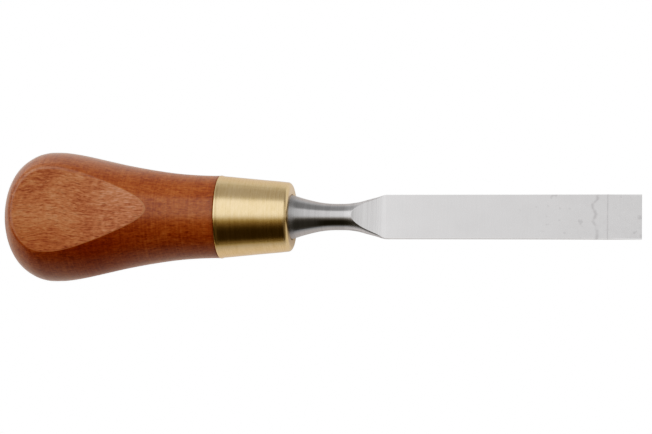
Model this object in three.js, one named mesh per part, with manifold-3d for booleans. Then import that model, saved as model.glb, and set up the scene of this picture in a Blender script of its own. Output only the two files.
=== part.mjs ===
// Short palm chisel for lino and leather: turned hardwood handle with two flats, drawn brass
// ferrule, one-piece steel blade whose tang is driven into the handle.
// Millimetres. +X runs along the tool axis towards the cutting edge, +Z is normal to the handle
// flats and to the blade faces. The origin is the centre of the bounding box.
// Pieces are modelled with x = 0 at the ferrule's front face, then moved into that frame.
import * as THREE from 'three';
import Module from 'manifold-3d';

// ---------- whole tool ----------
const OVERALL_LENGTH = 147.55;
const HANDLE_AND_FERRULE_LENGTH = 67.65; // butt to the ferrule's front face
const FRONT_X = -OVERALL_LENGTH / 2 + HANDLE_AND_FERRULE_LENGTH; // that face in the final frame
const GAP = 0.3; // clearance between neighbouring pieces
const BOLSTER_RADIUS = 4.95;

const TURNED_SEGMENTS = 64;
const SHANK_SEGMENTS = 48;

// ---------- ferrule dimensions ----------
const FERRULE_LENGTH = 16.8;
const FERRULE_WALL = 0.9;
const FERRULE_BACK_RADIUS = 9.48;
const FERRULE_FRONT_RADIUS = 8.02;
const FERRULE_HOLE_RADIUS = BOLSTER_RADIUS + GAP;
const HOLE_CHAMFER = 0.12;
// [x, radius] of the outside between the back and front radii
const FERRULE_TAPER = [[-12.18, 9.09], [-8.41, 8.73], [-4.65, 8.39]];

const LIP_RADIUS = 9.66;
const LIP_LENGTH = 0.5;
const LIP_CHAMFER = 0.08;
const LIP_FALL = 0.04; // radius lost along the lip
const LIP_STEP_LENGTH = 0.25; // slope from the lip down to the back radius

// rounding of the front shoulder
const SHOULDER_AXIAL = 0.95;
const SHOULDER_RADIAL = 1.25;
const SHOULDER_STEPS = 5;

// bore, with the inside rounding at its front
const BORE_BACK_RADIUS = FERRULE_BACK_RADIUS - FERRULE_WALL;
const BORE_FRONT_RADIUS = FERRULE_FRONT_RADIUS - FERRULE_WALL;
const BORE_BLEND = 0.7;
const BLEND_MIDDLE = { axial: 0.35, radial: 0.25 }; // middle point, as fractions of the blend
const BLEND_BACK_EXTRA = 0.07; // added to the radius where the blend meets the bore

// ---------- handle dimensions ----------
// rounded butt: [distance from the end of the butt, radius]
const BUTT = [
  [0, 0], [0.03, 1.2], [0.12, 2.39], [0.28, 3.63], [0.5, 4.81], [0.764, 5.88], [1.1, 6.95],
  [1.55, 8.11], [2.04, 9.12], [2.6, 10.06], [3.2, 10.92], [3.864, 11.7], [4.5, 12.33],
  [5.25, 12.94], [6.05, 13.45], [6.9, 13.91], [7.75, 14.31], [8.61, 14.63], [9.7, 14.9],
  [10.8, 15.03], [11.9, 15.06],
];
const NECK_RADIUS = 9.56;
// body and neck: [distance behind the ferrule's front face, radius]
const HANDLE_BODY = [
  [54.1, 15.02], [52.2, 14.83], [50.3, 14.53], [48.4, 14.17], [46.4, 13.73], [44.5, 13.3],
  [42.6, 12.87], [40.7, 12.44], [38.8, 12.03], [36.8, 11.64], [34.9, 11.29], [33.0, 10.96],
  [31.1, 10.66], [29.2, 10.38], [27.3, 10.14], [25.4, 9.94], [23.5, 9.79], [21.6, 9.68],
  [19.7, 9.6], [17.9, NECK_RADIUS], [FERRULE_LENGTH + GAP, NECK_RADIUS],
];
const FLAT_DISTANCE = 11.1; // each flat from the tool axis
const FLAT_CUTTER = { length: 60, width: 40, depth: 10, centreX: -48 };

// tenon inside the ferrule
const TENON_BACK_RADIUS = BORE_BACK_RADIUS - GAP + 0.02;
const TENON_FRONT_RADIUS = BORE_FRONT_RADIUS - GAP;
const TENON_BLEND_EXTRA = 0.05; // added to the radius behind the front chamfer
const TENON_END = -FERRULE_WALL - GAP - 0.1;

// ---------- blade dimensions ----------
const BLADE_WIDTH = 10.1;
const BLADE_THICKNESS = 1.5;
const BLADE_REACH = OVERALL_LENGTH - HANDLE_AND_FERRULE_LENGTH; // x of the cutting edge
const BEVEL_LENGTH = 7.7;
const EDGE_THICKNESS = 0.12;
const BOLSTER_BACK = -1.0; // x of the bolster's back face
const FLARE_END = 22.3; // x where the flare reaches the full blade width
const FLAT_OVERLAP = 0.4; // flat blade into the flare
const TANG_OVERLAP = 0.5; // tang into the bolster

// shank sections: [x, half width, half thickness, superellipse power]
const SHANK = [
  [BOLSTER_BACK, BOLSTER_RADIUS, BOLSTER_RADIUS, 2], [0.1, BOLSTER_RADIUS, BOLSTER_RADIUS, 2],
  [0.97, 4.8, 4.8, 2], [1.85, 4.52, 4.52, 2], [2.84, 4.22, 4.22, 2], [3.8, 3.97, 3.97, 2],
  [4.7, 3.74, 3.74, 2], [5.6, 3.54, 3.54, 2], [6.57, 3.35, 3.35, 2], [7.5, 3.22, 3.22, 2],
  [8.43, 3.12, 3.12, 2], [9.4, 3.06, 3.06, 2], [10.3, 3.03, 3.03, 2], [12.1, 3.03, 3.03, 2],
  [13.0, 3.07, 3.03, 2], [14.0, 3.17, 2.98, 2], [15.0, 3.32, 2.82, 2], [15.9, 3.51, 2.64, 2],
  [16.8, 3.76, 2.42, 2], [17.7, 4.02, 2.14, 2], [18.6, 4.26, 1.91, 2.05],
  [19.6, 4.53, 1.72, 2.15], [20.4, 4.77, 1.61, 2.4], [21.1, 4.95, 1.54, 3.0],
  [21.7, 5.03, 1.5, 4.5], [FLARE_END, BLADE_WIDTH / 2, 1.5, 7],
];

// run-out of the grinding wheel into the neck
const RUNOUT_RADIUS = 15.0;
const RUNOUT_START = 12.2;
const RUNOUT_END = 21.5;
const RUNOUT_STEPS = 10;

// envelope that trims the shank: it passes clear of the shank except at the ground faces
const ENVELOPE = { halfHeight: 8, width: 24, backMargin: 2, frontMargin: 3 };

// square tang, and the tapered hole it is driven into
const TANG_END = -47;
const TANG_ROOT_WIDTH = 4.4;
const TANG_TIP_WIDTH = 2.4;
const TANG_HOLE = {
  end: TANG_END - 1.5,
  endWidth: TANG_TIP_WIDTH + 0.55,
  mouth: TENON_END + 1, // runs past the tenon's front face
  mouthWidth: TANG_ROOT_WIDTH + 2 * GAP + 0.1,
};

// ---------- materials ----------
const HARDWOOD = { color: 0x95582f, roughness: 0.5, metalness: 0 };
const BRASS = { color: 0xc9a263, roughness: 0.3, metalness: 1 };
const STEEL = { color: 0xc4c3c2, roughness: 0.28, metalness: 1 };

const wasm = await Module();
wasm.setup();

// ---------- helpers ----------
const WELDS_PER_MM = 2e4; // vertices that round to the same grid point are welded

// weld a three.js geometry into a closed triangle mesh and turn it outward
function solid(geometry) {
  const position = geometry.getAttribute('position');
  const source = geometry.index?.array ?? Array.from({ length: position.count }, (_, i) => i);
  const welded = new Map();
  const vertices = [];
  const ids = [];
  for (let i = 0; i < position.count; i++) {
    const vertex = new THREE.Vector3().fromBufferAttribute(position, i);
    const key = vertex.toArray().map((value) => Math.round(value * WELDS_PER_MM)).join();
    if (!welded.has(key)) {
      welded.set(key, vertices.length);
      vertices.push(vertex);
    }
    ids.push(welded.get(key));
  }

  let triangles = [];
  let volume = 0; // six times the signed volume
  const normal = new THREE.Vector3();
  for (let i = 0; i < source.length; i += 3) {
    const [a, b, c] = [ids[source[i]], ids[source[i + 1]], ids[source[i + 2]]];
    if (a === b || b === c || a === c) continue;
    triangles.push([a, b, c]);
    volume += vertices[a].dot(normal.crossVectors(vertices[b], vertices[c]));
  }
  if (volume < 0) triangles = triangles.map(([a, b, c]) => [a, c, b]);

  return new wasm.Manifold(new wasm.Mesh({
    numProp: 3,
    vertProperties: new Float32Array(vertices.flatMap((vertex) => vertex.toArray())),
    triVerts: new Uint32Array(triangles.flat()),
  }));
}

// body turned about the tool axis from [x, radius] points
function turned(points) {
  const profile = points.map(([x, radius]) => new THREE.Vector2(radius, x));
  const geometry = new THREE.LatheGeometry(profile, TURNED_SEGMENTS);
  geometry.rotateZ(-Math.PI / 2);
  return solid(geometry);
}

// plate symmetric about the tool axis: its upper [x, z] edge, mirrored in Z and extruded along Y
function plate(upper, width) {
  const outline = [...upper, ...upper.map(([x, z]) => [x, -z]).reverse()];
  const shape = new THREE.Shape(outline.map(([x, z]) => new THREE.Vector2(x, z)));
  const geometry = new THREE.ExtrudeGeometry(shape, { depth: width, bevelEnabled: false });
  geometry.translate(0, 0, -width / 2);
  geometry.rotateX(Math.PI / 2);
  return solid(geometry);
}

// square taper along X
function taper(backX, backWidth, frontX, frontWidth) {
  const frontRadius = frontWidth / Math.SQRT2;
  const backRadius = backWidth / Math.SQRT2;
  const geometry = new THREE.CylinderGeometry(frontRadius, backRadius, frontX - backX, 4, 1);
  geometry.rotateY(Math.PI / 4);
  geometry.rotateZ(-Math.PI / 2);
  geometry.translate((backX + frontX) / 2, 0, 0);
  return solid(geometry);
}

const signedPower = (value, power) => Math.sign(value) * Math.abs(value) ** power;

// body lofted through superellipse sections laid out as in SHANK
function lofted(sections, segments) {
  const positions = [];
  for (const [x, halfWidth, halfThickness, power] of sections) {
    for (let j = 0; j < segments; j++) {
      const angle = (j / segments) * 2 * Math.PI;
      const y = halfWidth * signedPower(Math.cos(angle), 2 / power);
      const z = halfThickness * signedPower(Math.sin(angle), 2 / power);
      positions.push(x, y, z);
    }
  }
  const backCentre = positions.length / 3;
  const frontCentre = backCentre + 1;
  positions.push(sections[0][0], 0, 0, sections.at(-1)[0], 0, 0);

  const indices = [];
  for (let i = 0; i < sections.length - 1; i++) {
    for (let j = 0; j < segments; j++) {
      const here = i * segments + j;
      const beside = i * segments + ((j + 1) % segments);
      const ahead = here + segments;
      const diagonal = beside + segments;
      indices.push(here, beside, diagonal, here, diagonal, ahead);
    }
  }
  const lastRing = (sections.length - 1) * segments;
  for (let j = 0; j < segments; j++) {
    const next = (j + 1) % segments;
    indices.push(backCentre, next, j, frontCentre, lastRing + j, lastRing + next);
  }

  const geometry = new THREE.BufferGeometry();
  geometry.setAttribute('position', new THREE.Float32BufferAttribute(positions, 3));
  geometry.setIndex(indices);
  return solid(geometry);
}

// named three.js mesh of a finished solid, moved into the final frame
function piece(name, body, material) {
  const { vertProperties, triVerts } = body.getMesh();
  const geometry = new THREE.BufferGeometry();
  geometry.setAttribute('position', new THREE.Float32BufferAttribute(vertProperties, 3));
  geometry.setIndex(new THREE.Uint32BufferAttribute(triVerts, 1));
  geometry.translate(FRONT_X, 0, 0);
  geometry.computeVertexNormals();
  const mesh = new THREE.Mesh(geometry, new THREE.MeshStandardMaterial(material));
  mesh.name = name;
  return mesh;
}

// ---------- handle ----------
function makeHandle() {
  let handle = turned([
    ...BUTT.map(([depth, radius]) => [-HANDLE_AND_FERRULE_LENGTH + depth, radius]),
    ...HANDLE_BODY.map(([behind, radius]) => [-behind, radius]),
    [-FERRULE_LENGTH - GAP, TENON_BACK_RADIUS],
    [TENON_END - BORE_BLEND, TENON_FRONT_RADIUS + TENON_BLEND_EXTRA],
    [TENON_END, TENON_FRONT_RADIUS - BORE_BLEND],
    [TENON_END, 0],
  ]);
  const { length, width, depth, centreX } = FLAT_CUTTER;
  for (const side of [1, -1]) {
    const cutter = new THREE.BoxGeometry(length, width, depth);
    cutter.translate(centreX, 0, side * (FLAT_DISTANCE + depth / 2));
    handle = handle.subtract(solid(cutter));
  }
  const { end, endWidth, mouth, mouthWidth } = TANG_HOLE;
  return handle.subtract(taper(end, endWidth, mouth, mouthWidth));
}

// ---------- ferrule: tapered drawn cup, open at the back, holed at the front ----------
function makeFerrule() {
  const back = -FERRULE_LENGTH;
  const lipFront = back + LIP_LENGTH;
  const shoulder = [];
  for (let i = 0; i <= SHOULDER_STEPS; i++) {
    const angle = (Math.PI / 2) * (i / SHOULDER_STEPS);
    shoulder.push([
      -SHOULDER_AXIAL + SHOULDER_AXIAL * Math.sin(angle),
      FERRULE_FRONT_RADIUS - SHOULDER_RADIAL * (1 - Math.cos(angle)),
    ]);
  }
  const outside = [
    [back, LIP_RADIUS - LIP_CHAMFER],
    [back + LIP_CHAMFER, LIP_RADIUS],
    [lipFront, LIP_RADIUS - LIP_FALL],
    [lipFront + LIP_STEP_LENGTH, FERRULE_BACK_RADIUS],
    ...FERRULE_TAPER,
    ...shoulder,
  ];
  const hole = [
    [0, FERRULE_HOLE_RADIUS + HOLE_CHAMFER],
    [-HOLE_CHAMFER, FERRULE_HOLE_RADIUS],
    [-FERRULE_WALL, FERRULE_HOLE_RADIUS],
  ];
  const bore = [
    [-FERRULE_WALL, BORE_FRONT_RADIUS - BORE_BLEND],
    [
      -FERRULE_WALL - BORE_BLEND * BLEND_MIDDLE.axial,
      BORE_FRONT_RADIUS - BORE_BLEND * BLEND_MIDDLE.radial,
    ],
    [-FERRULE_WALL - BORE_BLEND, BORE_FRONT_RADIUS + BLEND_BACK_EXTRA],
    [back, BORE_BACK_RADIUS],
  ];
  return turned([...outside, ...hole, ...bore, outside[0]]);
}

// ---------- blade: bolster, waisted neck, flare, flat and double bevel, tang ----------
function makeBlade() {
  const half = BLADE_THICKNESS / 2;
  const runout = [];
  for (let i = 0; i <= RUNOUT_STEPS; i++) {
    const x = RUNOUT_START + ((RUNOUT_END - RUNOUT_START) * i) / RUNOUT_STEPS;
    // parabola close to the wheel's arc
    runout.push([x, half + (RUNOUT_END - x) ** 2 / (2 * RUNOUT_RADIUS)]);
  }
  const envelope = plate([
    [BOLSTER_BACK - ENVELOPE.backMargin, ENVELOPE.halfHeight],
    [RUNOUT_START, ENVELOPE.halfHeight],
    ...runout,
    [FLARE_END + ENVELOPE.frontMargin, half],
  ], ENVELOPE.width);
  const shank = lofted(SHANK, SHANK_SEGMENTS).intersect(envelope);
  const flat = plate([
    [FLARE_END - FLAT_OVERLAP, half],
    [BLADE_REACH - BEVEL_LENGTH, half],
    [BLADE_REACH, EDGE_THICKNESS / 2],
  ], BLADE_WIDTH);
  const tang = taper(TANG_END, TANG_TIP_WIDTH, BOLSTER_BACK + TANG_OVERLAP, TANG_ROOT_WIDTH);
  return shank.add(flat).add(tang);
}

const group = new THREE.Group();
group.name = 'palm_chisel';
group.add(piece('handle', makeHandle(), HARDWOOD));
group.add(piece('ferrule', makeFerrule(), BRASS));
group.add(piece('blade', makeBlade(), STEEL));

export default group;
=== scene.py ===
"""Short palm chisel on a plain white floor.

A turned hardwood handle with two flats, a drawn brass ferrule and a one-piece steel blade.
The tool axis is X with the cutting edge at +X; the flats face +Z and -Z. Shapes are in mm,
with x counted from the ferrule's front (+X) face.
"""
import bisect
import math

import bpy
from mathutils import Matrix, Vector


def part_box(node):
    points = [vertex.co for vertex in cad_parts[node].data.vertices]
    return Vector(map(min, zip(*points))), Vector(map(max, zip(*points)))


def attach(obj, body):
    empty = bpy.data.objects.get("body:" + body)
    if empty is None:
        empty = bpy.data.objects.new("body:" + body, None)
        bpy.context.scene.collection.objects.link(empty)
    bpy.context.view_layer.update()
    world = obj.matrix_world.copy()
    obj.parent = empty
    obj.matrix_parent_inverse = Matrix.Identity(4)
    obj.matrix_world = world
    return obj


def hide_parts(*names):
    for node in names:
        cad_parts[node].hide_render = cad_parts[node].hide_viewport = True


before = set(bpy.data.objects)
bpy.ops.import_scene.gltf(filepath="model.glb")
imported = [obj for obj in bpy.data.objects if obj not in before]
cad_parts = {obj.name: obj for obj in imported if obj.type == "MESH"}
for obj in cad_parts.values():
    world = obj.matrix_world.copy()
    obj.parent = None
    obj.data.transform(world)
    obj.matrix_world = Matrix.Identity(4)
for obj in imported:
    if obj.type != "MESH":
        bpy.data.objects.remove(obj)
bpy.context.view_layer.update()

MM = 0.001
QUARTER = math.pi / 2

# Driving sizes, taken from the frame
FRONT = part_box("ferrule")[1][0] / MM  # the ferrule's front face in the frame
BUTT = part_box("handle")[0][0] / MM - FRONT
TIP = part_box("blade")[1][0] / MM - FRONT
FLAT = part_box("handle")[1][2] / MM  # each flat from the axis, at FLAT_MIDDLE
FLAT_MIDDLE = -48.0
FLAT_SLOPE = 0.0114  # the flats draw together a little towards the neck
BEVEL = TIP - 7.7  # where the bevel starts

WHITE = 1.3  # the light level that comes out as white


# ------------------------------------------------------------------ shape helpers


def curve(points):
    """Monotone cubic through (x, value) points, held level beyond both ends."""
    xs, ys = zip(*points)
    count = len(xs)
    chords = [(ys[i + 1] - ys[i]) / (xs[i + 1] - xs[i]) for i in range(count - 1)]
    slopes = [chords[0]] + [0.0] * (count - 2) + [chords[-1]]
    for i in range(1, count - 1):
        before, after = chords[i - 1], chords[i]
        if before * after > 0:
            weight_before = 2 * (xs[i + 1] - xs[i]) + (xs[i] - xs[i - 1])
            weight_after = (xs[i + 1] - xs[i]) + 2 * (xs[i] - xs[i - 1])
            total = weight_before + weight_after
            slopes[i] = total / (weight_before / before + weight_after / after)

    def value_at(x):
        if x <= xs[0]:
            return ys[0]
        if x >= xs[-1]:
            return ys[-1]
        i = bisect.bisect_right(xs, x) - 1
        step = xs[i + 1] - xs[i]
        t = (x - xs[i]) / step
        return (
            (2 * t**3 - 3 * t**2 + 1) * ys[i]
            + (t**3 - 2 * t**2 + t) * step * slopes[i]
            + (-2 * t**3 + 3 * t**2) * ys[i + 1]
            + (t**3 - t**2) * step * slopes[i + 1]
        )

    return value_at


def clamp01(value):
    return max(0.0, min(1.0, value))


def rounded_min(a, b, size):
    """Smaller of a and b with a rounded crossover of the given size."""
    if size <= 1e-9:
        return min(a, b)
    overlap = max(size - abs(a - b), 0.0) / size
    return min(a, b) - overlap * overlap * size * 0.25


def march(x, spans):
    """Stations from x onwards, through (stop, step) spans."""
    stations = []
    for stop, step in spans:
        while x < stop:
            stations.append(x)
            x += step
    return stations


def all_round(quarter):
    """Angles of a full turn from those of its first quarter, mirrored in the others."""
    mirrored = [QUARTER - a for a in reversed(quarter + [QUARTER])][:-1]
    return [q * QUARTER + a for q in range(4) for a in (mirrored if q % 2 else quarter)]


def circle(x, radius, angles):
    """A round ring; angles run from +Z towards +Y."""
    return [(x, radius * math.sin(a), radius * math.cos(a)) for a in angles]


def loft(name, rings, material, sharp, closed=False):
    """A closed skin over rings of (x, y, z) points, capped unless the last joins the first.

    sharp: edges bent more than this many degrees stay sharp.
    """
    count = len(rings[0])
    verts = [point for ring in rings for point in ring]
    faces = []
    for i in range(len(rings) if closed else len(rings) - 1):
        this, following = i * count, ((i + 1) % len(rings)) * count
        for j in range(count):
            k = (j + 1) % count
            faces.append((this + j, this + k, following + k, following + j))
    if not closed:
        for at, flip in ((0, True), (len(rings) - 1, False)):
            centre = len(verts)
            verts.append([sum(p[axis] for p in rings[at]) / count for axis in range(3)])
            for j in range(count):
                a, b = at * count + j, at * count + (j + 1) % count
                faces.append((centre, b, a) if flip else (centre, a, b))
    mesh = bpy.data.meshes.new(name)
    mesh.from_pydata([((x + FRONT) * MM, y * MM, z * MM) for x, y, z in verts], [], faces)
    mesh.validate()
    mesh.update()

    # a negative volume means the faces look inwards
    volume = 0.0
    mesh.calc_loop_triangles()
    for triangle in mesh.loop_triangles:
        a, b, c = (mesh.vertices[i].co for i in triangle.vertices)
        volume += a.dot(b.cross(c))
    if volume < 0:
        mesh.flip_normals()
    mesh.shade_smooth()
    mesh.set_sharp_from_angle(angle=math.radians(sharp))
    return add_object(name, mesh, material)


def add_object(name, mesh, material):
    mesh.materials.append(material)
    obj = bpy.data.objects.new(name, mesh)
    bpy.context.scene.collection.objects.link(obj)
    return obj


# ------------------------------------------------------------------ node helpers


def rgba(colour):
    """A grey level or (r, g, b) with alpha added; signals pass through."""
    if isinstance(colour, Signal):
        return colour
    return (*colour, 1) if isinstance(colour, tuple) else (colour, colour, colour, 1)


class Graph:
    """A fresh node tree on a material or world."""

    def __init__(self, owner):
        owner.use_nodes = True
        self.tree = owner.node_tree
        self.tree.nodes.clear()

    def make(self, kind, inputs=None, **properties):
        """A node; inputs maps sockets to signals or plain values."""
        node = self.tree.nodes.new(kind)
        for key, value in properties.items():
            setattr(node, key, value)
        for key, value in (inputs or {}).items():
            if isinstance(value, Signal):
                self.tree.links.new(value.socket, node.inputs[key])
            else:
                node.inputs[key].default_value = value
        return node

    def out(self, kind, inputs=None, output=0, **properties):
        """One output of a new node."""
        return Signal(self, self.make(kind, inputs, **properties).outputs[output])

    def outs(self, kind, *names, inputs=None):
        """Several outputs of one new node."""
        node = self.make(kind, inputs)
        return [Signal(self, node.outputs[name]) for name in names]

    def math(self, operation, *values, clamp=False):
        inputs = dict(enumerate(values))
        return self.out("ShaderNodeMath", inputs, operation=operation, use_clamp=clamp)

    def vector_math(self, operation, a, b, output="Vector"):
        return self.out("ShaderNodeVectorMath", {0: a, 1: b}, output, operation=operation)

    def dot(self, a, b):
        return self.vector_math("DOT_PRODUCT", a, b, "Value")

    def axes(self, vector):
        return self.outs("ShaderNodeSeparateXYZ", "X", "Y", "Z", inputs={0: vector})

    def vector(self, x, y, z):
        return self.out("ShaderNodeCombineXYZ", {0: x, 1: y, 2: z})

    def stretched(self, axes, scales, detail=2.0, rough=0.5):
        """Noise with its own scale on each axis."""
        scaled = [axis * scale for axis, scale in zip(axes, scales)]
        return self.vector(*scaled).noise(1.0, detail, rough)

    def mix(self, amount, a, b, mode="MIX"):
        inputs = {0: amount, 6: rgba(a), 7: rgba(b)}
        return self.out("ShaderNodeMix", inputs, 2, data_type="RGBA", blend_type=mode)

    def surface(self, inputs):
        """The principled shader and the material's output."""
        self.make("ShaderNodeOutputMaterial", {0: self.out("ShaderNodeBsdfPrincipled", inputs)})


class Signal:
    """A node's output. Arithmetic and the methods below add nodes after it."""

    def __init__(self, graph, socket):
        self.graph = graph
        self.socket = socket

    def __add__(self, other):
        return self.graph.math("ADD", self, other)

    def __radd__(self, other):
        return self.graph.math("ADD", other, self)

    def __sub__(self, other):
        return self.graph.math("SUBTRACT", self, other)

    def __rsub__(self, other):
        return self.graph.math("SUBTRACT", other, self)

    def __mul__(self, other):
        return self.graph.math("MULTIPLY", self, other)

    def __truediv__(self, other):
        return self.graph.math("DIVIDE", self, other)

    def __abs__(self):
        return self.unary("ABSOLUTE")

    def unary(self, operation):
        return self.graph.math(operation, self, 0.0)

    def maximum(self, other):
        return self.graph.math("MAXIMUM", self, other)

    def swing(self, gain):
        """A 0 to 1 signal turned into one about zero."""
        return (self - 0.5) * gain

    def unswing(self):
        """A signal about zero brought back to 0 to 1."""
        return self.graph.math("ADD", self, 0.5, clamp=True)

    def bell(self, width):
        """Bell curve: 1 at zero, 1/e at width."""
        return (self.graph.math("POWER", self / width, 2.0) * -1.0).unary("EXPONENT")

    def linear(self, start, stop, to=(0.0, 1.0), interpolation="LINEAR"):
        """Maps start..stop to the range `to`, held beyond it."""
        inputs = {"Value": self, "From Min": start, "From Max": stop}
        inputs.update({"To Min": to[0], "To Max": to[1]})
        return self.graph.out(
            "ShaderNodeMapRange", inputs, clamp=True, interpolation_type=interpolation
        )

    def smooth(self, start, stop, to=(0.0, 1.0)):
        """As linear, with eased ends."""
        return self.linear(start, stop, to, "SMOOTHSTEP")

    def ramp(self, stops):
        """Colour ramp through (position, grey or (r, g, b)) stops."""
        node = self.graph.make("ShaderNodeValToRGB", {0: self})
        elements = node.color_ramp.elements
        while len(elements) > 1:
            elements.remove(elements[-1])
        for i, (position, colour) in enumerate(stops):
            element = elements[0] if i == 0 else elements.new(position)
            element.position = position
            element.color = rgba(colour)
        return Signal(self.graph, node.outputs[0])

    def between(self, low, high):
        """Number from low, where this is 0, to high, where it is 1."""
        return self.graph.out("ShaderNodeMix", {0: self, 2: low, 3: high}, data_type="FLOAT")

    def toward(self, colour, amount):
        return self.graph.mix(amount, self, colour)

    def tinted(self, colour):
        return self.graph.mix(1.0, self, colour, "MULTIPLY")

    def scaled(self, x, y, z):
        return self.graph.vector_math("MULTIPLY", self, (x, y, z))

    def noise(self, scale=1.0, detail=2.0, rough=0.5):
        inputs = {"Vector": self, "Scale": scale, "Detail": detail, "Roughness": rough}
        return self.graph.out("ShaderNodeTexNoise", inputs, noise_dimensions="3D")

    def bump(self, distance, strength):
        """Surface normal from this height; distance in metres."""
        inputs = {"Height": self, "Distance": distance, "Strength": strength}
        return self.graph.out("ShaderNodeBump", inputs)


def tool_material(name):
    """A material, its graph and the place on the tool in mm from the ferrule's front face."""
    material = bpy.data.materials.new(name)
    graph = Graph(material)
    position = graph.out("ShaderNodeTexCoord", output="Object")
    inputs = {0: position, "Scale": 1 / MM}
    millimetres = graph.out("ShaderNodeVectorMath", inputs, operation="SCALE")
    return material, graph, graph.vector_math("SUBTRACT", millimetres, (FRONT, 0, 0))


# ------------------------------------------------------------------ wood

# Tone from 0, dark, to 1, pale
BODY_COLOURS = [
    (0.0, (0.33, 0.058, 0.008)), (0.35, (0.475, 0.106, 0.018)),
    (0.65, (0.575, 0.150, 0.032)), (1.0, (0.69, 0.215, 0.06)),
]
FLAT_COLOURS = [
    (0.0, (0.47, 0.120, 0.042)), (0.3, (0.65, 0.198, 0.078)),
    (0.6, (0.79, 0.280, 0.122)), (1.0, (0.92, 0.410, 0.21)),
]
# Tint of the flats from butt to neck
FLAT_PALING = [(0.0, (0.90, 0.91, 0.89)), (0.5, (0.945, 0.98, 1.03)), (1.0, (1.07, 1.21, 1.52))]
# Strength of the painted shade along the -Y side of the swell, from butt to neck, and its deeper
# brown tint
SWELL_SHADE_ALONG = [(0.0, 0.2), (0.3, 0.3), (0.5, 0.95), (0.65, 0.85), (0.85, 0.25), (1.0, 0.0)]
SWELL_SHADE_TINT = (0.76, 0.53, 0.22)
LOW_SIDE_TINT = (0.87, 0.78, 0.63)
PORE_COLOUR = (0.20, 0.035, 0.008)
FLECK_COLOUR = (0.12, 0.02, 0.006)
# painted highlight along the arris
ARRIS_HIGHLIGHT_COLOUR = (0.95, 0.45, 0.22)
# painted shade in the corner against the ferrule
FERRULE_CORNER_SHADE = (0.22, 0.055, 0.016)


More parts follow.
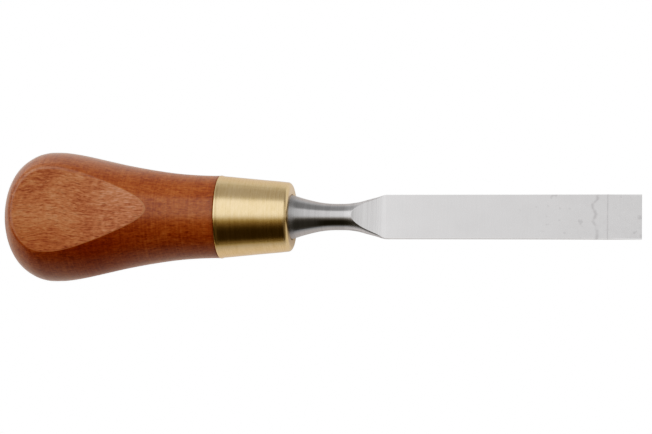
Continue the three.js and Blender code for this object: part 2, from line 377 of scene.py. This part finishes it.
def wood():
    material, graph, place = tool_material("handle_wood")
    x, y, z = graph.axes(place)
    # the flats are cut across the turned skin: 1 on a flat
    height = abs(z) + (x - FLAT_MIDDLE) * FLAT_SLOPE
    flat = height.linear(FLAT - 0.045, FLAT - 0.012)

    # the fibres run along the tool, a little askew and gently waved
    wave = graph.stretched((x, y, z), (0.06, 0.05, 0.05), detail=1.0).swing(3.0)
    fine_wave = graph.stretched((x, y, z), (0.3, 0.2, 0.2), detail=1.0).swing(0.55)
    fibre_y = (y + x * 0.035) + (wave + fine_wave)
    fibre_z = z + wave * 0.6

    def streak(along, across, seed, detail=1.0, rough=0.5):
        """Noise drawn out along the fibres; along and across are its scales per mm."""
        point = graph.vector(x * along + seed, fibre_y * across, fibre_z * across)
        return point.noise(1.0, detail, rough)

    figure = graph.stretched((x, fibre_y, fibre_z), (0.1, 0.1, 0.1))
    rays = streak(along=0.14, across=0.8, seed=3.1, detail=2.0)
    fibre = streak(along=0.36, across=2.5, seed=11.7, detail=2.0, rough=0.55)
    hair = streak(along=0.8, across=6.0, seed=23.9)
    pores = streak(along=0.62, across=4.4, seed=41.3).smooth(0.60, 0.70)
    flecks = streak(along=1.1, across=2.6, seed=57.1).smooth(0.67, 0.75)
    mottle = place.noise(scale=1.15, detail=3.0, rough=0.6)
    turning = graph.stretched((x, y, z), (2.6, 0.05, 0.05), rough=0.6)

    # tone: how far each pattern swings it, on the flats and on the turned skin
    grain = fibre.swing(1.4) + hair.swing(1.35) + mottle.swing(0.8)
    skin = fibre.swing(1.0) + hair.swing(0.7) + (mottle.swing(1.1) + turning.swing(0.7))
    tone = flat.between(skin, grain) + figure.swing(0.9) + rays.swing(0.5)
    # a darker cloud in the figure near the widest part
    cloud_x = (x + 55.6) / 2.3
    cloud_y = (y - 6.5) / 6.0
    cloud = ((cloud_x * cloud_x + cloud_y * cloud_y) * -1.0).unary("EXPONENT")
    tone = (tone - cloud * 0.2).unswing()
    body = tone.ramp(BODY_COLOURS)
    face = tone.ramp(FLAT_COLOURS)

    # the flats grow paler towards the neck and are browner on the -Y side
    face = face.tinted(x.linear(-61.0, -36.0).ramp(FLAT_PALING))
    low_side = y.smooth(-0.5, -7.5) * x.linear(-56.0, -42.0, to=(1.0, 0.35))
    face = face.toward(face.tinted(LOW_SIDE_TINT), low_side)
    # on the +Y side, near the butt, the flat has no clear edge
    fade = y.smooth(1.0, 5.0) * x.smooth(-58.0, -48.0, to=(1.0, 0.0))
    vague = height.smooth(FLAT - 2.0, FLAT - 0.02)
    colour = body.toward(face, fade.between(flat, vague))
    colour = colour.toward(PORE_COLOUR, pores * flat.linear(0, 1, to=(0.26, 0.32)))
    colour = colour.toward(FLECK_COLOUR, flecks * flat.linear(0, 1, to=(0.3, 0.3)))
    # painted shade: the body is darkened to a deeper brown along the -Y side of the swell, which
    # faces the dim part of the room
    swell_shade = y.smooth(-3.0, -9.0) * x.linear(-64.0, -28.0).ramp(SWELL_SHADE_ALONG)
    swell_shade = swell_shade * (1.0 - flat)
    colour = colour.toward(colour.tinted(SWELL_SHADE_TINT), swell_shade)
    # painted highlight: a pale line along the arris where the flat meets the turned skin
    arris_highlight = height.smooth(FLAT - 0.11, FLAT - 0.06) * (1.0 - flat)
    arris_highlight = arris_highlight * x.linear(-62.0, -54.0, to=(0.1, 1.0))
    arris_highlight = arris_highlight * (1.0 - y.linear(0.0, 3.0) * x.linear(-44.0, -38.0, to=(1.0, 0.0)))
    colour = colour.toward(ARRIS_HIGHLIGHT_COLOUR, arris_highlight * 0.4)
    # painted shade: darker in the corner against the ferrule
    colour = colour.toward(FERRULE_CORNER_SHADE, x.smooth(-17.9, -17.0, to=(0.0, 0.35)))

    # the turned skin carries a thin satin lacquer
    lacquer = swell_shade.linear(0.0, 1.0, to=(1.0, 0.4)) * x.linear(-41.0, -30.0, to=(1.0, 0.78))
    # lathe lines round the body, open grain on the flats
    body_relief = turning * 0.45 + fibre * 0.4 + mottle * 0.25
    flat_relief = fibre * 1.0 + hair * 0.5 - pores * 0.7
    relief = flat.between(body_relief, flat_relief)
    graph.surface({
        "Base Color": colour,
        "Roughness": flat.between(0.5, 0.62) + fibre.swing(0.2),
        "Specular IOR Level": flat.between(0.25, 0.38),
        "Coat Weight": flat.between(lacquer, 0.0),
        "Coat Roughness": 0.12 + rays * 0.08,
        "Coat IOR": 1.55,
        "Normal": relief.bump(distance=0.00004, strength=0.55),
        "Coat Normal": body_relief.bump(distance=0.00003, strength=0.5),
    })
    return material


# ------------------------------------------------------------------ brass

BRASS_COLOURS = [
    (0.3, (0.86, 0.62, 0.33)), (0.5, (0.93, 0.685, 0.385)), (0.7, (0.98, 0.735, 0.435)),
]
SPECK_COLOUR = (0.4, 0.25, 0.1)
# painted reflection tint for the band on the -Y side
REFLECTION_WARM_TINT = (1.0, 0.86, 0.5)


def brass():
    material, graph, place = tool_material("ferrule_brass")
    x, y, z = graph.axes(place)
    angle = graph.math("ARCTAN2", y, z)  # from +Z towards +Y

    def wrapped(along, round_scale):
        """A point on a cylinder, so noise meets itself all the way round."""
        sine = angle.unary("SINE") * round_scale
        return graph.vector(along, sine, angle.unary("COSINE") * round_scale)

    # turned lines: quick along the axis, slow round it
    slow = wrapped(x, 0.35)
    lines = slow.scaled(4.6, 1, 1).noise(detail=3.0, rough=0.7)
    brushed = wrapped(x * 2.6, 5.0).noise(rough=0.6)
    broad = slow.scaled(0.7, 0.8, 0.8).noise()
    handled = place.noise(scale=0.32, detail=4.0, rough=0.6)
    specks = place.noise(scale=2.1)

    # weight of each pattern in the tint, then an offset onto the ramp
    tint = lines * 0.75 + handled * 0.45 + brushed * 0.5 - 0.35
    colour = tint.ramp(BRASS_COLOURS)
    colour = colour.toward(SPECK_COLOUR, specks.linear(0.72, 0.8) * 0.35)
    # painted reflection: a warmer, deeper tint in a band on the -Y side, where the brass reflects
    # the dim part of the room
    warm_reflection = angle.smooth(math.radians(-18), math.radians(-9), to=(1.0, 0.0))
    warm_reflection = warm_reflection * angle.smooth(math.radians(-60), math.radians(-50))
    warm_reflection = warm_reflection * x.linear(-1.3, -0.8, to=(0.72, 0.25))
    colour = colour.toward(colour.tinted(REFLECTION_WARM_TINT), warm_reflection)

    relief = lines * 0.6 + broad * 0.5 + brushed * 1.2
    graph.surface({
        "Base Color": colour,
        "Metallic": 1.0,
        "Roughness": 0.07 + lines * 0.17 + broad * 0.06,
        "Normal": relief.bump(distance=0.000016, strength=0.55),
    })
    return material


# ------------------------------------------------------------------ steel

STEEL_COLOURS = [
    (0.2, (0.60, 0.588, 0.590)), (0.5, (0.725, 0.712, 0.715)), (0.8, (0.82, 0.81, 0.812)),
]
# Painted light and shade along the blade, as parts of the length below: the polished neck is
# darker, darkest against the ferrule; the ground faces are painted bright, brightest at the
# wheel's run-out, and dull slightly towards the edge
PAINTED_LIGHT_LENGTH = 80.0
PAINTED_LIGHT_ALONG = [
    (0.0, 0.6), (0.014, 0.62), (0.03, 0.73), (0.15, 0.72), (0.185, 1.04), (0.215, 1.12),
    (0.25, 1.1), (0.264, 0.98), (0.28, 0.925), (0.33, 0.9), (0.6, 0.87), (0.76, 0.86),
    (0.87, 0.83), (0.9, 0.825), (0.91, 0.905), (1.0, 0.9),
]
# Painted light on the blade's side faces
SIDE_LIGHT_COLOUR = (0.9, 0.885, 0.885)
MARK_COLOUR = (0.30, 0.285, 0.29)


def steel():
    material, graph, place = tool_material("blade_steel")
    x, y, z = graph.axes(place)
    ground = x.smooth(12.5, 14.5)  # 0 on the polished neck, 1 on the ground faces
    bevel = x.linear(BEVEL - 0.05, BEVEL + 0.08)

    # grinding lines across the blade, very slightly bowed, deepest at the wheel's run-out
    bowed_x = x + y * y * 0.004
    lines = graph.stretched((bowed_x, y, z), (3.6, 0.07, 0.2), rough=0.6)
    coarse = graph.stretched((bowed_x, y, z), (1.1, 0.03, 0.1), rough=0.55)
    smudge = graph.stretched((x, y, z), (0.12, 0.2, 0.2), detail=3.0, rough=0.55)
    mottle = place.noise(scale=0.9, detail=4.0, rough=0.65)
    not_bevel = 1.0 - bevel
    run_out = ground * x.smooth(17.0, 26.0, to=(1.25, 0.07))
    use = x.smooth(52.0, TIP - 5.0)  # handling marks gather towards the edge
    neck_lines = graph.stretched((x, y, z), (2.4, 0.12, 0.12), rough=0.6)

    # tone: how far each pattern swings it
    tone = (lines.swing(0.7) + coarse.swing(0.35)) * (run_out * not_bevel)
    tone = tone + mottle.swing(0.36) * use + smudge.swing(0.2)
    tone = tone + neck_lines.swing(0.6) * (1.0 - ground)
    colour = tone.unswing().ramp(STEEL_COLOURS)
    # painted light and shade along the blade
    colour = colour.tinted((x / PAINTED_LIGHT_LENGTH).ramp(PAINTED_LIGHT_ALONG))
    # painted light: the blade's side faces are lightened to a pale grey
    painted_light_sides = abs(y).linear(4.97, 5.03) * x.linear(20.0, 23.0)
    colour = colour.toward(SIDE_LIGHT_COLOUR, painted_light_sides)

    # small stains on the flat and one wandering drag mark just behind the bevel
    stain = graph.vector(x * 0.55, y * 0.6, z * 0.5 + 7.3).noise()
    stain = stain.smooth(0.61, 0.73) * x.linear(50.0, 58.0, to=(0.0, 0.34))
    wander = graph.vector(y * 0.3, 3.0, z * 0.3).noise()
    from_track = abs(x - (BEVEL - 2.9) - wander.swing(5.0))
    patchy = graph.vector(x * 0.8, y * 0.7, z).noise()
    drag = from_track.smooth(0.06, 0.6, to=(1.0, 0.0))
    drag = drag * patchy.smooth(0.3, 0.6, to=(0.08, 0.42))
    marks = stain.maximum(drag)
    # a darker line where the bevel starts
    at_bevel = abs(x - BEVEL).smooth(0.05, 0.22, to=(0.4, 0.0))
    marks = marks.maximum(at_bevel * patchy.linear(0.3, 0.7, to=(0.4, 1.0)))
    colour = colour.toward(MARK_COLOUR, marks)

    rough = ground.linear(0, 1, to=(0.12, 0.28)) + lines.swing(0.1)
    rough = rough + x.smooth(0.3, 1.8, to=(0.26, 0.0))
    rough = rough + mottle.swing(0.08) * use
    # the ground faces scatter more widely at a grazing view
    facing = graph.out("ShaderNodeLayerWeight", {"Blend": 0.5}, "Facing")
    graze = facing.smooth(0.4, 0.75, to=(0.0, 0.42)) * ground
    rough = rough + graze * (1.0 - painted_light_sides)

    neck_relief = graph.stretched((x, y, z), (4.0, 0.1, 0.1), rough=0.6)
    relief = lines * (run_out * not_bevel) + neck_relief * 0.15
    graph.surface({
        "Base Color": colour,
        "Metallic": 1.0,
        "Roughness": rough,
        "Normal": relief.bump(distance=0.000008, strength=0.45),
    })
    return material


# ------------------------------------------------------------------ handle

BUTT_DEPTH = 11.9  # from the end of the butt to the widest part
WIDEST = BUTT + BUTT_DEPTH
HANDLE_FRONT = -17.0
POLE_RADIUS = 0.02  # of the first ring, at the very end of the butt

# The butt as (depth from its end, squared radius), which keeps the pole round
butt_squared = curve([
    (0, 0), (0.5, 23.1), (1.1, 48.3), (2.04, 83.2), (3.864, 136.9), (6.05, 180.9),
    (8.61, 214.1), (10.8, 226.0), (BUTT_DEPTH, 226.8),
])
# The body as (x, radius)
body_radius = curve([
    (WIDEST, 15.06), (-54.1, 15.02), (-52.2, 14.83), (-50.3, 14.53), (-48.4, 14.17),
    (-46.4, 13.73), (-44.5, 13.3), (-42.6, 12.87), (-40.7, 12.44), (-38.8, 12.03),
    (-36.8, 11.64), (-34.9, 11.29), (-33.0, 10.96), (-31.1, 10.66), (-29.2, 10.38),
    (-27.3, 10.14), (-25.4, 9.94), (-23.5, 9.79), (-21.6, 9.68), (-19.7, 9.6),
    (-17.9, 9.56), (-16.5, 9.56),
])
# The hidden end as (x, radius)
HANDLE_END = [
    # eased shoulder against the ferrule
    (-17.12, 9.56), (-17.0, 9.55), (-16.93, 9.52), (-16.89, 9.46), (-16.87, 9.34),
    # tenon
    (-16.87, 8.22), (-16.8, 8.18), (-12.0, 7.78), (-5.0, 7.08), (-2.1, 6.82), (-1.5, 6.45),
    (-1.32, 5.9),
    # hole for the tang
    (-1.32, 3.7), (-1.45, 3.5), (-20.0, 3.0), (-48.0, 2.1), (-48.5, 1.4),
]


def handle_radius(x):
    if x < WIDEST:
        return math.sqrt(max(0.0, butt_squared(x - BUTT)))
    return body_radius(x)


def flat_height(x):
    return FLAT - FLAT_SLOPE * (x - FLAT_MIDDLE)


def arris_angle(x, radius):
    """Angle from Z at which the flat meets the turned skin."""
    flat = flat_height(x)
    return math.acos(min(1.0, flat / radius)) if radius > flat else 0.0


def handle_angles(x, radius):
    """Angles round a ring, closer together at the arris."""
    arris = max(arris_angle(x, radius), 0.035)
    band = min(0.45 * arris, 0.06)
    start, stop = arris - band, arris + band
    quarter = [start * i / 14 for i in range(14)]
    quarter += [start + 2 * band * i / 10 for i in range(10)]
    quarter += [stop + (QUARTER - stop) * i / 22 for i in range(22)]
    return all_round(quarter)


def handle_ring(x):
    radius = handle_radius(x)
    reach = 0.02  # for measuring the slope
    ahead = handle_radius(min(x + reach, HANDLE_FRONT))
    slope = (ahead - handle_radius(max(x - reach, BUTT))) / (2 * reach)
    lean = math.hypot(math.tan(arris_angle(x, radius)), min(1.2, abs(slope)))
    # the arris is crisp towards the ferrule and worn rounder towards the butt,
    # and rounder still along the +Y side
    ease = 0.22 + 0.75 * clamp01((-59.0 - x) / 5.0) ** 1.5
    side_ease = max(ease, 0.22 + 0.75 * clamp01((-41.0 - x) / 9.0))
    ring = []
    for angle in handle_angles(x, radius):
        to_flat = flat_height(x) / max(abs(math.cos(angle)), 1e-9)
        rounding = (side_ease if math.sin(angle) > 0 else ease) * lean
        cut = rounded_min(radius, to_flat, rounding)
        ring.append((x, cut * math.sin(angle), cut * math.cos(angle)))
    return ring


def handle_stations():
    """Stations along the turned skin, closer together where the flats begin and end."""
    stations = [BUTT + BUTT_DEPTH * (i / 84) ** 2 for i in range(1, 85)]
    stations += [-64.2 + i * 0.07 for i in range(-8, 14)]
    stations += march(WIDEST + 0.3, [(-17.3, 0.33)])
    stations += [-32.9 + i * 0.12 for i in range(-14, 15)]
    spaced = []
    for x in sorted(x for x in stations if BUTT + 0.002 < x < -17.25):
        if not spaced or x - spaced[-1] > min(0.03, 0.4 * (x - BUTT)):
            spaced.append(x)
    return spaced


def make_handle(material):
    rings = [circle(BUTT, POLE_RADIUS, handle_angles(BUTT, POLE_RADIUS))]
    rings += [handle_ring(x) for x in handle_stations()]
    rings += [circle(x, radius, handle_angles(x, radius)) for x, radius in HANDLE_END]
    return loft("handle_turned", rings, material, sharp=38)


# ------------------------------------------------------------------ ferrule

FERRULE_BACK = -16.8
FERRULE_SEGMENTS = 192
ROUND_LENGTH = 0.95  # of the rounded front edge
ROUND_DROP = 1.25  # loss of radius over that edge
ROUND_RADIUS = 8.02  # where it starts
ROUND_STEPS = 16

# Rolled rim as (distance from the back, radius)
RIM = [
    (0, 9.46), (0.03, 9.55), (0.1, 9.605), (0.2, 9.625), (0.34, 9.615), (0.47, 9.58),
    (0.6, 9.53), (0.75, 9.485),
]
# Outer side as (x, radius)
ferrule_side = curve([
    (-16.2, 9.49), (-15.9, 9.45), (-14.06, 9.28), (-12.18, 9.09), (-10.29, 8.91),
    (-8.41, 8.73), (-6.53, 8.55), (-4.65, 8.39), (-2.78, 8.22), (-ROUND_LENGTH, ROUND_RADIUS),
])
# Front face, hole and inside as (x, radius)
FERRULE_INSIDE = [
    (-0.003, 6.2), (-0.008, 5.6), (-0.018, 5.32), (-0.045, 5.25), (-0.11, 5.22), (-0.3, 5.21),
    (-0.82, 5.22), (-0.9, 5.3), (-0.9, 5.9), (-0.95, 6.4), (-1.15, 6.8), (-1.6, 7.08),
    (-5.0, 7.42), (-12.0, 8.1), (-16.6, 8.5), (-16.77, 8.6), (FERRULE_BACK, 8.75),
]


def make_ferrule(material):
    profile = [(FERRULE_BACK + distance, radius) for distance, radius in RIM]
    profile += [(x, ferrule_side(x)) for x in march(-15.85, [(-1.1, 0.35)])]
    for i in range(ROUND_STEPS + 1):
        turn = QUARTER * i / ROUND_STEPS
        radius = ROUND_RADIUS - ROUND_DROP * (1 - math.cos(turn))
        profile.append((ROUND_LENGTH * (math.sin(turn) - 1), radius))
    profile += FERRULE_INSIDE
    angles = [2 * math.pi * j / FERRULE_SEGMENTS for j in range(FERRULE_SEGMENTS)]
    rings = [circle(x, radius, angles) for x, radius in profile]
    return loft("ferrule_drawn", rings, material, sharp=50, closed=True)


# ------------------------------------------------------------------ blade

HALF_THICKNESS = 0.75
HALF_EDGE = 0.06  # half thickness at the cutting edge
RUN_OUT_END = 21.15  # where the wheel's run-out meets the level faces

# The round neck as (x, radius)
NECK = [
    (-1.0, 5.17), (-0.5, 5.17), (-0.25, 5.15), (0.0, 5.09), (0.97, 4.8), (1.85, 4.52),
    (2.84, 4.22), (3.8, 3.97), (4.7, 3.74), (5.6, 3.54), (6.57, 3.35), (7.5, 3.22),
    (8.43, 3.12), (9.4, 3.06), (10.3, 3.03), (12.1, 3.03),
]
# Half width in Y as (x, half width)
half_width = curve(NECK + [
    (13.0, 3.07), (14.0, 3.17), (15.0, 3.32), (15.9, 3.51), (16.8, 3.76), (17.7, 4.02),
    (18.6, 4.26), (19.6, 4.53), (20.4, 4.77), (21.0, 4.95), (21.5, 5.04), (21.9, 5.06),
    (50.0, 5.06), (BEVEL, 5.09), (TIP, 5.2),
])
# Half height in Z before grinding as (x, half height)
half_height = curve(NECK + [
    (15.2, 3.03), (16.1, 3.01), (17.0, 2.88), (18.0, 2.62), (19.0, 2.31), (20.0, 1.93),
    (20.4, 1.77), (21.1, 1.58), (22.3, 1.5),
])
# Squareness of the section as (x, superellipse power); 2 is round
section_power = curve([
    (17.7, 2.0), (18.6, 2.05), (19.6, 2.15), (20.4, 2.4), (21.1, 3.0), (21.7, 4.5), (22.3, 7.0),
])
# The tang as (x, half width, superellipse power)
TANG = [(-47.0, 0.5, 3), (-46.2, 1.05, 9), (-45, 1.22, 9), (-20, 1.8, 9), (-1.2, 2.18, 9)]
# Shoulder behind the neck as (x, scale of the first neck ring)
SHOULDER = [(-1.02, 0.6), (-1.0, 0.985)]


def ground_height(x):
    """Height of the ground face above the mid-plane."""
    if x < RUN_OUT_END:
        back = RUN_OUT_END - x
        return HALF_THICKNESS + 0.22 * (math.sqrt(back * back + 0.25) - 0.5) + 0.0165 * back * back
    if x > BEVEL:
        return HALF_THICKNESS + (HALF_EDGE - HALF_THICKNESS) * (x - BEVEL) / (TIP - BEVEL)
    return HALF_THICKNESS


def superellipse(angle, width, height, power):
    """Radius at an angle from Y."""
    across, upward = abs(math.cos(angle)), abs(math.sin(angle))
    return ((across / width) ** power + (upward / height) ** power) ** (-1 / power)


def blade_ring(x):
    width, height = half_width(x), half_height(x)
    power, ground = section_power(x), ground_height(x)
    corner = QUARTER
    if ground < height:
        corner_y = width * (1 - (ground / height) ** power) ** (1 / power)
        corner = math.atan2(ground, corner_y)
    corner = min(corner, QUARTER - 0.03)
    # close steps at the corner, then even steps across the ground face
    band = min(0.04, corner * 0.4, (QUARTER - corner) * 0.45)
    start = corner - band
    quarter = [start * i / 12 for i in range(12)]
    quarter += [start + 2 * band * i / 8 for i in range(8)]
    face_reach = 1 / math.tan(corner + band)
    quarter += [math.atan2(1.0, face_reach * (1 - i / 14)) for i in range(14)]

    rounding = (0.05 if x > 22 else 0.028) * min(1.0, ground)
    ring = []
    for angle in all_round(quarter):
        to_face = ground / max(abs(math.sin(angle)), 1e-9)
        radius = rounded_min(superellipse(angle, width, height, power), to_face, rounding)
        ring.append((x, radius * math.cos(angle), radius * math.sin(angle)))
    return ring


def tang_ring(x, width, power, like):
    """A squarish ring at the same angles as another."""
    ring = []
    for _, y, z in like:
        angle = math.atan2(z, y)
        radius = superellipse(angle, width, width, power)
        ring.append((x, radius * math.cos(angle), radius * math.sin(angle)))
    return ring


def make_blade(material):
    stations = [-0.9, -0.4, -0.25, -0.12, 0.0, 0.15, 0.3, 0.5, 0.7]
    stations += march(0.97, [(12.6, 0.3), (24, 0.14), (BEVEL - 0.5, 1.6)])
    stations += [BEVEL + offset for offset in (-0.2, -0.06, 0.0, 0.06, 0.3)]
    stations += [BEVEL + 0.3 + 7.3 * i / 9 for i in range(1, 10)]
    stations.append(TIP - 0.03)
    base = blade_ring(stations[0])
    rings = [tang_ring(x, width, power, base) for x, width, power in TANG]
    rings += [[(x, y * scale, z * scale) for _, y, z in base] for x, scale in SHOULDER]
    rings += [blade_ring(x) for x in stations]
    rings.append([(TIP, y, z * 0.75) for _, y, z in rings[-1]])  # eased cutting edge
    return loft("blade_ground", rings, material, sharp=30)


# ------------------------------------------------------------------ camera

LEAN = math.radians(9.2)  # towards the cutting edge
ROLL = math.radians(10.3)  # towards -Y
AIM_X = 7.85  # the point on the axis it looks at
CAMERA_DISTANCE = 551.72414  # mm
LENS = 132.51534  # focal length for a 36 mm sensor


def make_camera():
    to_camera = Vector(
        (math.sin(LEAN), -math.cos(LEAN) * math.sin(ROLL), math.cos(LEAN) * math.cos(ROLL))
    )
    right = (Vector((1, 0, 0)) - to_camera * to_camera.x).normalized()
    up = to_camera.cross(right)
    target = Vector(((AIM_X + FRONT) * MM, 0, 0))
    data = bpy.data.cameras.new("camera")
    data.sensor_width = 36
    data.lens = LENS
    data.clip_start, data.clip_end = 0.01, 20
    camera = bpy.data.objects.new("camera", data)
    turn = Matrix((right, up, to_camera)).transposed().to_4x4()
    camera.matrix_world = Matrix.Translation(target + to_camera * CAMERA_DISTANCE * MM) @ turn
    bpy.context.scene.collection.objects.link(camera)
    bpy.context.scene.camera = camera


# ------------------------------------------------------------------ floor, in metres

FLOOR_HALF = 3.0
FLOOR_GAP = 0.00005  # below the flat
TABLE_REACH = 0.3
# Table light as (part of TABLE_REACH from the axis, level), on the -Y and +Y sides
NEAR_LIGHT = [
    (0.0, 0.72), (0.083, 0.70), (0.133, 0.58), (0.2, 0.45), (0.3, 0.4), (0.5, 0.3), (1.0, 0.12),
]
FAR_LIGHT = [(0.0, 0.76), (0.1, 0.75), (0.27, 0.64), (0.5, 0.55), (1.0, 0.45)]
TABLE_DIFFUSE = 0.3  # share of the table light that reaches diffuse surfaces
# Painted bounce light: tint of the table near the wood and brass
TABLE_BOUNCE_TINT = (1.0, 0.84, 0.74)


def floor_material():
    """Clean white seen directly; the tool sees it as a lit white table."""
    material = bpy.data.materials.new("floor_white")
    graph = Graph(material)
    camera_ray, diffuse_ray = graph.outs("ShaderNodeLightPath", "Is Camera Ray", "Is Diffuse Ray")
    position, backfacing = graph.outs("ShaderNodeNewGeometry", "Position", "Backfacing")
    x, y, _ = graph.axes(position)
    # the table is brightest round the tool and falls off with distance, sooner on the near side
    near = (y * -1.0 / TABLE_REACH).ramp(NEAR_LIGHT)
    far = (y / TABLE_REACH).ramp(FAR_LIGHT)
    # past the cutting edge it is dimmer in front and a little brighter behind
    ahead = x.linear(0.0, 0.08) * abs(y).linear(0.008, 0.018)
    near = near * ahead.linear(0.0, 1.0, to=(1.0, 0.5))
    far = far * ahead.linear(0.0, 1.0, to=(1.0, 1.12))
    table = graph.math("GREATER_THAN", y, 0.0).between(near, far)
    # the tool shades the table under itself
    under = abs(y).bell(0.0058) * abs(x).smooth(0.065, 0.105, to=(0.65, 0.0))
    table = table * (1.0 - under)
    seen = diffuse_ray.between(table, table * TABLE_DIFFUSE)
    # painted bounce light: close to the wood and brass the table is tinted warm, except where the
    # camera sees it
    bounce_light = abs(y).bell(0.05) * x.linear(-0.03, 0.02, to=(1.0, 0.2))
    bounce_light = bounce_light * (1.0 - camera_ray)
    emission = graph.out("ShaderNodeEmission", {
        "Strength": camera_ray.between(seen, WHITE),
        "Color": graph.mix(bounce_light, (1, 1, 1), TABLE_BOUNCE_TINT),
    })
    # from below the table can be looked through
    clear = graph.out("ShaderNodeBsdfTransparent")
    shader = graph.out("ShaderNodeMixShader", {0: backfacing, 1: emission, 2: clear})
    graph.make("ShaderNodeOutputMaterial", {0: shader})
    return material


def make_floor():
    z = -flat_height(-64.5) * MM - FLOOR_GAP
    corners = [(-1, -1), (1, -1), (1, 1), (-1, 1)]
    mesh = bpy.data.meshes.new("floor")
    mesh.from_pydata([(FLOOR_HALF * x, FLOOR_HALF * y, z) for x, y in corners], [], [(0, 1, 2, 3)])
    add_object("floor", mesh, floor_material())


# ------------------------------------------------------------------ studio light

TOP_LEVEL = 1.25  # levels are divided by this to fit the ramps
DIM = (0.042, 0.038, 0.029)
# Light about the tool axis as (degrees from the camera's side towards +Y, level): a broad soft
# light over the tool and behind it, a dim room in front
LEVELS = [
    (-180, 0.68), (-90, 0.62), (-82, 0.33), (-76, (0.115, 0.108, 0.097)), (-68, DIM),
    (-40, DIM), (-31, (0.062, 0.056, 0.046)), (-24, (0.115, 0.104, 0.09)),
    (-17, (0.19, 0.176, 0.157)), (-11, (0.30, 0.285, 0.262)), (-5, (0.50, 0.485, 0.46)),
    (1, (0.82, 0.805, 0.78)), (6, 1.1), (12, 1.2), (46, 1.2), (51, 1.02), (56, 0.62),
    (61, 0.46), (70, 0.42), (92, 0.42), (100, 0.55), (112, 0.7), (180, 0.68),
]
# Light along the tool as (x of the direction, level)
ALONG = [
    (-1.0, 1.05), (-0.5, 1.1), (-0.3, 1.08), (-0.13, 1.03), (-0.05, 0.95), (0.05, 0.92),
    (0.2, 0.86), (0.3, 0.82), (1.0, 0.8),
]
EVEN_SHARE = (0.44, 0.44, 0.44)  # of the level kept where the light evens out


def below_top(level):
    if isinstance(level, tuple):
        return tuple(channel / TOP_LEVEL for channel in level)
    return level / TOP_LEVEL


def make_world():
    world = bpy.data.worlds.new("studio")
    bpy.context.scene.world = world
    graph = Graph(world)
    direction = graph.out("ShaderNodeTexCoord", output="Generated")
    upward = (0, -math.sin(ROLL), math.cos(ROLL))
    rearward = (0, math.cos(ROLL), math.sin(ROLL))
    angle = graph.math("ARCTAN2", graph.dot(direction, rearward), graph.dot(direction, upward))
    turn = angle / (2 * math.pi) + 0.5
    level = turn.ramp([((degrees + 180) / 360, below_top(value)) for degrees, value in LEVELS])
    x = graph.axes(direction)[0]
    along = graph.math("MULTIPLY_ADD", x, 0.5, 0.5)
    along = along.ramp([((at + 1) / 2, below_top(value)) for at, value in ALONG])
    along = along * (TOP_LEVEL * TOP_LEVEL)

    # towards the far end of the room the light evens out
    dim_side = level.linear(below_top(0.12), below_top(0.4), to=(1.0, 0.0))
    even = dim_side.between(x.linear(0.25, 0.95), x.smooth(0.0, 0.3))
    lift = x.smooth(0.42, 0.66, to=(below_top(0.075), below_top(0.17)))
    lift_colour = graph.vector(lift, lift * 0.95, lift * 0.87)
    flattened = graph.mix(1.0, level.tinted(EVEN_SHARE), lift_colour, "ADD")
    level = level.toward(flattened, even)

    # most of the soft light comes from behind
    camera_ray, diffuse_ray = graph.outs("ShaderNodeLightPath", "Is Camera Ray", "Is Diffuse Ray")
    behind = graph.dot(direction, rearward).linear(-0.75, 0.55, to=(0.42, 1.03))
    along = along * diffuse_ray.between(1.0, behind)
    background = graph.out("ShaderNodeBackground", {
        "Color": level.toward((1, 1, 1), camera_ray),
        "Strength": camera_ray.between(along, WHITE),
    })
    graph.make("ShaderNodeOutputWorld", {0: background})


# ------------------------------------------------------------------ picture response

# (light level, shown level): a short toe and a soft shoulder
RESPONSE = [
    (0.01, 0.003), (0.02, 0.0075), (0.035, 0.017), (0.05, 0.029), (0.075, 0.052),
    (0.1, 0.078), (0.15, 0.135), (0.2, 0.19), (0.3, 0.298), (0.4, 0.398), (0.55, 0.53),
    (0.735, 0.668), (0.9, 0.775), (1.05, 0.86), (1.18, 0.935),
]


def set_response():
    view = bpy.context.scene.view_settings
    view.view_transform = "Standard"
    view.look = "None"
    view.exposure = 0.0
    view.gamma = 1.0
    view.use_curve_mapping = True
    mapping = view.curve_mapping
    mapping.black_level = (0.004, 0.005, 0.007)
    mapping.white_level = (WHITE, WHITE, WHITE)
    mapping.extend = "HORIZONTAL"
    for level, shown in RESPONSE:
        mapping.curves[3].points.new(level / WHITE, shown)
    mapping.update()


# ------------------------------------------------------------------ build

WOOD, BRASS, STEEL = wood(), brass(), steel()
handle = make_handle(WOOD)
ferrule = make_ferrule(BRASS)
blade = make_blade(STEEL)
for obj, node, slot in (
    (handle, "handle", "handle_wood"),
    (ferrule, "ferrule", "ferrule_brass"),
    (blade, "blade", "blade_steel"),
):
    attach(obj, "root")
    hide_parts(node)

make_camera()
make_floor()
make_world()
set_response()
